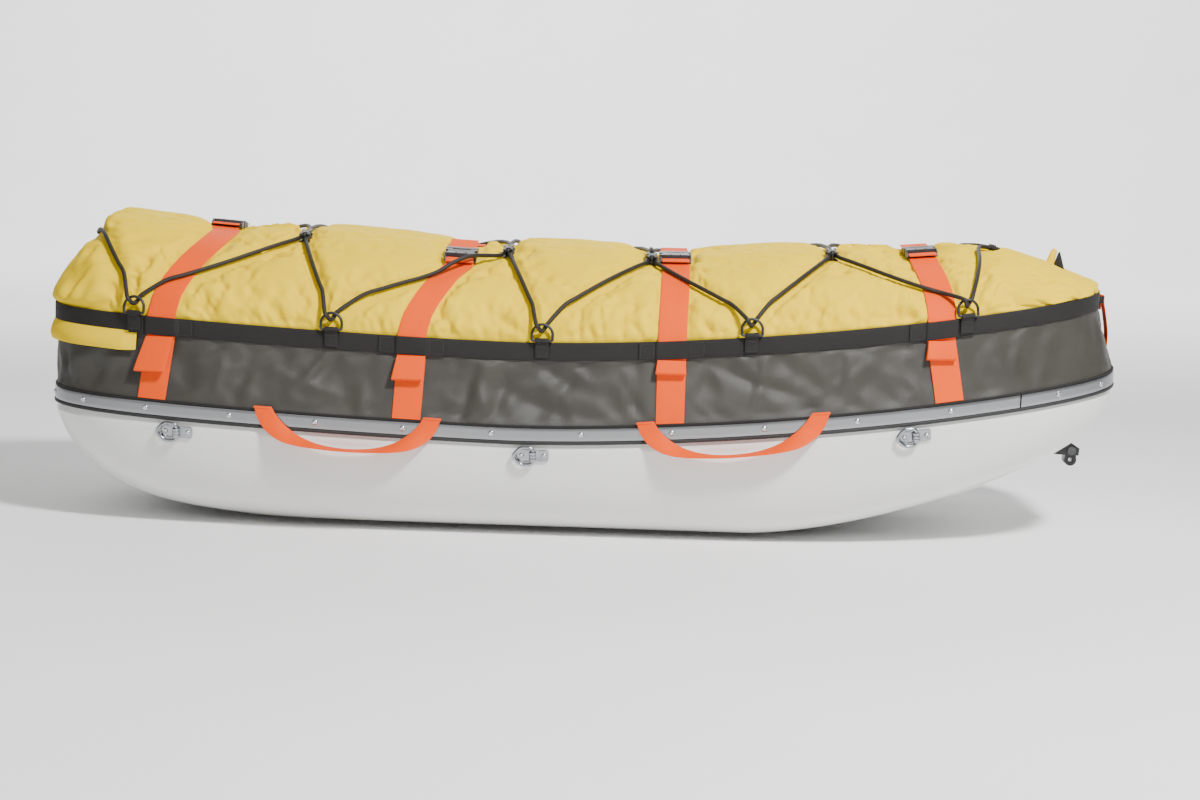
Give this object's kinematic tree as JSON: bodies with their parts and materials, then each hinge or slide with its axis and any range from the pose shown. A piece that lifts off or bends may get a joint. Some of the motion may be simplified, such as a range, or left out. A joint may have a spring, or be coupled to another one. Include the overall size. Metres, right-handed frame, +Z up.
{
  "type": "pulk sled",
  "caption": "Boat-shaped pulk sled with runners, fabric skirt, laced and strapped load cover, side handles and tow link.",
  "frame": {"origin": "on the floor under the middle of the rim, at the middle runner's underside", "axes": "+X towards the bow, +Y to the left side, +Z up"},
  "size_m": [1.5572, 0.6114, 0.4247],
  "materials": {
    "hull_laminate": "satin off-white laminate",
    "runner_plastic": "satin",
    "edge_rubber": "matte black",
    "band_aluminium": "brushed",
    "screw_steel": "bright",
    "lash_zinc": "bright zinc",
    "skirt_fabric": "coated dark grey cloth",
    "black_webbing": "black webbing",
    "black_plastic": "black",
    "elastic_cord": "braided black sheath",
    "orange_webbing": "orange webbing",
    "buckle_plastic": "dark grey",
    "cover_fabric": "yellow ripstop",
    "tow_plastic": "black",
    "pin_steel": "plain",
    "load_fabric": "packed bags"
  },
  "bodies": {
    "sled": {"hull": "hull_laminate", "runners": "runner_plastic", "rim_edge": "edge_rubber", "rim_band_right": "band_aluminium", "rim_band_left": "band_aluminium", "rim_band_bow": "band_aluminium", "rim_screws": "screw_steel", "lash_plates": "lash_zinc", "lash_screws": "screw_steel", "skirt": "skirt_fabric", "skirt_bead": "black_webbing", "top_webbing": "black_webbing", "strap_keepers": "black_webbing", "ring_tabs": "black_webbing", "cord_rings": "black_plastic", "strap_right_1": "orange_webbing", "strap_right_2": "orange_webbing", "strap_right_3": "orange_webbing", "strap_right_4": "orange_webbing", "strap_left_1": "orange_webbing", "strap_left_2": "orange_webbing", "strap_left_3": "orange_webbing", "strap_left_4": "orange_webbing", "buckle_socket_1": "buckle_plastic", "buckle_socket_2": "buckle_plastic", "buckle_socket_3": "buckle_plastic", "buckle_socket_4": "buckle_plastic", "strap_flaps": "orange_webbing", "cover": "cover_fabric", "cover_stern_flap": "cover_fabric", "cover_bow_tab": "cover_fabric", "bungee_cord": "elastic_cord", "cord_clips": "black_plastic", "cord_knots": "elastic_cord", "cord_end_loop": "black_plastic", "bow_handle": "orange_webbing", "bow_webbing": "black_webbing", "tow_bracket": "tow_plastic", "tow_pin": "pin_steel", "tow_stay": "black_webbing", "load": "load_fabric"},
    "lash_ring_right_1": {"lash_ring_right_1": "lash_zinc"},
    "lash_ring_right_2": {"lash_ring_right_2": "lash_zinc"},
    "lash_ring_right_3": {"lash_ring_right_3": "lash_zinc"},
    "handle_right_1": {"handle_right_1": "orange_webbing"},
    "handle_right_2": {"handle_right_2": "orange_webbing"},
    "lash_ring_left_1": {"lash_ring_left_1": "lash_zinc"},
    "lash_ring_left_2": {"lash_ring_left_2": "lash_zinc"},
    "lash_ring_left_3": {"lash_ring_left_3": "lash_zinc"},
    "handle_left_1": {"handle_left_1": "orange_webbing"},
    "handle_left_2": {"handle_left_2": "orange_webbing"},
    "buckle_plug_1": {"buckle_plug_1": "buckle_plastic", "plug_loop_1": "orange_webbing"},
    "buckle_plug_2": {"buckle_plug_2": "buckle_plastic", "plug_loop_2": "orange_webbing"},
    "buckle_plug_3": {"buckle_plug_3": "buckle_plastic", "plug_loop_3": "orange_webbing"},
    "buckle_plug_4": {"buckle_plug_4": "buckle_plastic", "plug_loop_4": "orange_webbing"},
    "tow_link": {"tow_link": "tow_plastic"}
  },
  "joints": [
    {"name": "lash_ring_right_1_swing", "type": "hinge", "parent": "sled", "child": "lash_ring_right_1", "pos_m": [-0.57173, -0.27076, 0.13795], "axis": [0.029, -0.1835, 0.9826], "range_deg": [0, 170]},
    {"name": "lash_ring_right_2_swing", "type": "hinge", "parent": "sled", "child": "lash_ring_right_2", "pos_m": [-0.07299, -0.28138, 0.1223], "axis": [-0.0125, -0.1601, 0.987], "range_deg": [0, 170]},
    {"name": "lash_ring_right_3_swing", "type": "hinge", "parent": "sled", "child": "lash_ring_right_3", "pos_m": [0.4608, -0.26756, 0.16567], "axis": [-0.1176, -0.1633, 0.9796], "range_deg": [0, 170]},
    {"name": "handle_right_1_swing", "type": "hinge", "parent": "sled", "child": "handle_right_1", "pos_m": [-0.33212, -0.27964, 0.17373], "axis": [-0.9993, 0.0111, 0.0354], "range_deg": [0, 110]},
    {"name": "handle_right_2_swing", "type": "hinge", "parent": "sled", "child": "handle_right_2", "pos_m": [0.20415, -0.279, 0.1844], "axis": [-0.9962, -0.016, -0.0853], "range_deg": [0, 110]},
    {"name": "lash_ring_left_1_swing", "type": "hinge", "parent": "sled", "child": "lash_ring_left_1", "pos_m": [-0.57173, 0.27076, 0.13795], "axis": [-0.029, -0.1835, -0.9826], "range_deg": [0, 170]},
    {"name": "lash_ring_left_2_swing", "type": "hinge", "parent": "sled", "child": "lash_ring_left_2", "pos_m": [-0.07299, 0.28138, 0.1223], "axis": [0.0125, -0.1601, -0.987], "range_deg": [0, 170]},
    {"name": "lash_ring_left_3_swing", "type": "hinge", "parent": "sled", "child": "lash_ring_left_3", "pos_m": [0.4608, 0.26756, 0.16567], "axis": [0.1176, -0.1633, -0.9796], "range_deg": [0, 170]},
    {"name": "handle_left_1_swing", "type": "hinge", "parent": "sled", "child": "handle_left_1", "pos_m": [-0.33212, 0.27964, 0.17373], "axis": [0.9993, 0.0111, -0.0354], "range_deg": [0, 110]},
    {"name": "handle_left_2_swing", "type": "hinge", "parent": "sled", "child": "handle_left_2", "pos_m": [0.20415, 0.279, 0.1844], "axis": [0.9962, -0.016, 0.0853], "range_deg": [0, 110]},
    {"name": "buckle_1_release", "type": "slide", "parent": "sled", "child": "buckle_plug_1", "axis": [-0.0022, 0.9994, -0.0348], "range_m": [0, 0.03]},
    {"name": "buckle_2_release", "type": "slide", "parent": "sled", "child": "buckle_plug_2", "axis": [0.0084, 0.9759, 0.2178], "range_m": [0, 0.03]},
    {"name": "buckle_3_release", "type": "slide", "parent": "sled", "child": "buckle_plug_3", "axis": [-0.0016, 0.9938, 0.1113], "range_m": [0, 0.03]},
    {"name": "buckle_4_release", "type": "slide", "parent": "sled", "child": "buckle_plug_4", "axis": [-0.0079, 0.9965, 0.083], "range_m": [0, 0.03]},
    {"name": "tow_link_swing", "type": "hinge", "parent": "sled", "child": "tow_link", "pos_m": [0.73, 0, 0.11855], "axis": [0, -1, 0], "range_deg": [-40, 100]}
  ]
}
